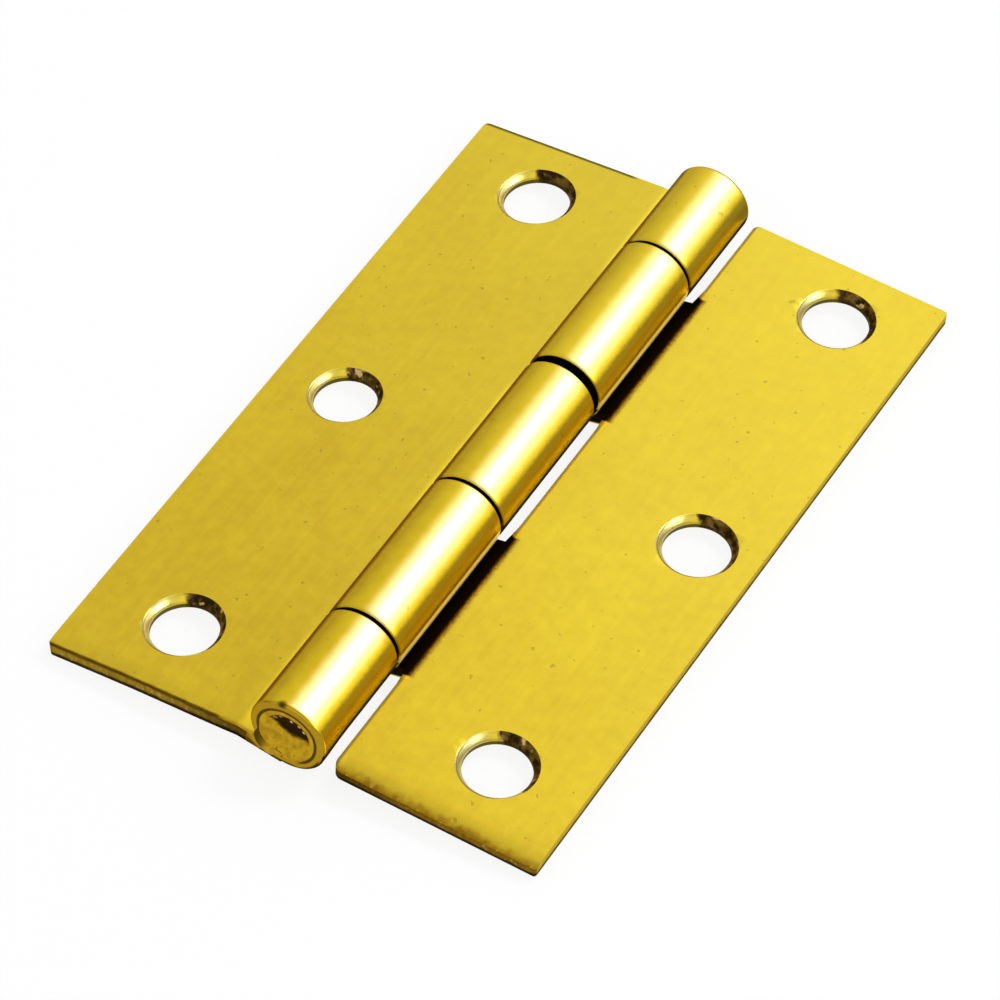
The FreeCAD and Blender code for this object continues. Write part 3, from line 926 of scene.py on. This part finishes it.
def dressLeaf(piece, name, side, plan):
    kinds = [face.material_index for face in piece.data.polygons]
    dress(piece, plateMaterial("plate" + name, side, plan), shearedMaterial("sheared" + name, side),
          sinkMaterial("sink" + name, side, plan["holes"]))
    piece.data.polygons.foreach_set("material_index", kinds)


dressLeaf(leftLeaf, "Left", -1, threeKnuckleLeaf)
dressLeaf(rightLeaf, "Right", 1, twoKnuckleLeaf)
dress(pin, pinMaterial("pinEnds"))
print("hinge: materials")

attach(leftLeaf, "fixed_leaf")
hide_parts("three_knuckle_leaf")
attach(rightLeaf, "moving_leaf")
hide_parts("two_knuckle_leaf")
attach(pin, "fixed_leaf")
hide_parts("hinge_pin")


# The studio: floor, surround, two lamps and the camera.

studio = {
    "floorSize": 4.0,
    "floorDrop": 0.0003,      # clear of the burrs under the cropped ends
    "floorTone": 0.8,
    "clearShare": 0.88,       # how far the camera sees through the floor, to a folded leaf or the white
    "mirrored": 0.62,         # the floor's tone in the metal
    "front": 0.512,
    "back": 0.685,
    "rise": 0.09,             # how much brighter still it is behind the lamps
    "fill": 0.4,              # and behind the camera
    "brightest": (0.35, 0.75, 0.56),  # where the surround is brightest, near the lamps
    "glow": 1.2,              # how fast it brightens towards there
    "horizon": 0.45,          # share of it left at the horizon
    "keyTurn": math.radians(65),      # about the barrel, from level on its right
    "keyBack": 0.576,                 # how far the lamp lies towards the barrel's far end
    "keyPower": 9.9,
    "keySize": (0.58, 0.24),
    "sidePlace": (0.87, 0.1, 0.47),
    "sidePower": 6.0,
    "sideSize": (1.0, 0.5),
    "lampDistance": 1.5,
}


def makeFloor():
    deselectAll()
    bpy.ops.mesh.primitive_grid_add(x_subdivisions=4, y_subdivisions=4, size=studio["floorSize"],
                                    location=(0, 0, -studio["floorDrop"]))
    floor = bpy.context.object
    floor.name = "floor"
    material = bpy.data.materials.new("paperWhite")
    material.use_nodes = True
    board = Board(material.node_tree)
    grey = (studio["floorTone"],) * 3 + (1,)
    paper = board.node("ShaderNodeBsdfDiffuse", {}, {"Color": grey})
    clear = board.node("ShaderNodeBsdfTransparent", {}, {"Color": (1, 1, 1, 1)})
    seen = board.node("ShaderNodeLightPath", output="Is Camera Ray")
    through = board.node("ShaderNodeLightPath", output="Is Transmission Ray")
    share = (seen + through) * studio["clearShare"]
    surface = board.node("ShaderNodeMixShader", {}, {0: share, 1: paper, 2: clear})
    dim = board.node("ShaderNodeEmission", {}, {"Color": (1, 1, 1, 1), "Strength": studio["mirrored"]})
    mirrored = board.node("ShaderNodeLightPath", output="Is Glossy Ray")
    surface = board.node("ShaderNodeMixShader", {}, {0: mirrored, 1: surface, 2: dim})
    board.node("ShaderNodeOutputMaterial", {}, {"Surface": surface})
    floor.data.materials.append(material)
    return floor


def makeSurround():
    world = bpy.data.worlds.new("studio")
    bpy.context.scene.world = world
    world.use_nodes = True
    board = Board(world.node_tree)
    direction = board.node("ShaderNodeTexCoord", output="Generated")
    brightest = tuple(Vector(studio["brightest"]).normalized())
    towards = board.vector("DOT_PRODUCT", direction, brightest, output=1)
    depth = board.node("ShaderNodeSeparateXYZ", {}, [direction], 1)
    height = board.node("ShaderNodeSeparateXYZ", {}, [direction], 2)
    strength = board.spread(depth, -0.5, 0.3, studio["front"], studio["back"])
    strength = strength + board.spread(depth, 0.45, 0.72, 0.0, studio["rise"])
    strength = strength + board.spread(depth, -0.3, -0.7, 0.0, studio["fill"])
    strength = strength + (towards - 0.6).work("MAXIMUM", 0.0) * studio["glow"]
    strength = strength * board.spread(height, 0.05, 0.35, studio["horizon"], 1.0)
    light = board.node("ShaderNodeBackground", {}, {"Color": (1, 1, 1, 1), "Strength": strength})
    plain = board.node("ShaderNodeBackground", {}, {"Color": (1, 1, 1, 1), "Strength": 1.0})
    seen = board.node("ShaderNodeLightPath", output="Is Camera Ray")
    surface = board.node("ShaderNodeMixShader", {}, {0: seen, 1: light, 2: plain})
    board.node("ShaderNodeOutputWorld", {}, {"Surface": surface})


def makeLamp(name, place, along, size, power):
    data = bpy.data.lights.new(name, "AREA")
    data.shape = "RECTANGLE"
    data.size, data.size_y = size
    data.energy = power
    lamp = bpy.data.objects.new(name, data)
    bpy.context.scene.collection.objects.link(lamp)
    back = Vector(place).normalized()
    along = Vector(along)
    along = (along - back * along.dot(back)).normalized()
    turn = Matrix((along, back.cross(along), back)).transposed()
    lamp.matrix_world = Matrix.Translation(back * studio["lampDistance"]) @ turn.to_4x4()


def makeLamps():
    turn, back = studio["keyTurn"], studio["keyBack"]
    flat = math.sqrt(1 - back ** 2)
    place = (math.cos(turn) * flat, back, math.sin(turn) * flat)
    makeLamp("keyLamp", place, (-math.sin(turn), 0, math.cos(turn)), studio["keySize"], studio["keyPower"])
    makeLamp("sideLamp", studio["sidePlace"], (0, 1, 0), studio["sideSize"], studio["sidePower"])


shot = {
    "azimuth": math.radians(30.40),
    "elevation": math.radians(48.10),
    "roll": math.radians(0.08),
    "distance": 0.5141,
    "target": (0.00031, -0.00223, 0.0),
    "lens": 204.8,
}


def makeCamera():
    data = bpy.data.cameras.new("camera")
    data.lens = shot["lens"]
    data.sensor_width = 36
    data.clip_start = 0.01
    data.clip_end = 20
    camera = bpy.data.objects.new("camera", data)
    bpy.context.scene.collection.objects.link(camera)
    az, el, roll = shot["azimuth"], shot["elevation"], shot["roll"]
    back = Vector((math.sin(az) * math.cos(el), -math.cos(az) * math.cos(el), math.sin(el)))
    right = Vector((math.cos(az), math.sin(az), 0))
    up = back.cross(right)
    across = right * math.cos(roll) + up * math.sin(roll)
    above = up * math.cos(roll) - right * math.sin(roll)
    turn = Matrix((across, above, back)).transposed()
    spot = Vector(shot["target"]) + back * shot["distance"]
    camera.matrix_world = Matrix.Translation(spot) @ turn.to_4x4()
    bpy.context.scene.camera = camera


makeFloor()
makeSurround()
makeLamps()
makeCamera()
bpy.context.scene.view_settings.view_transform = "Standard"
print("hinge: studio")
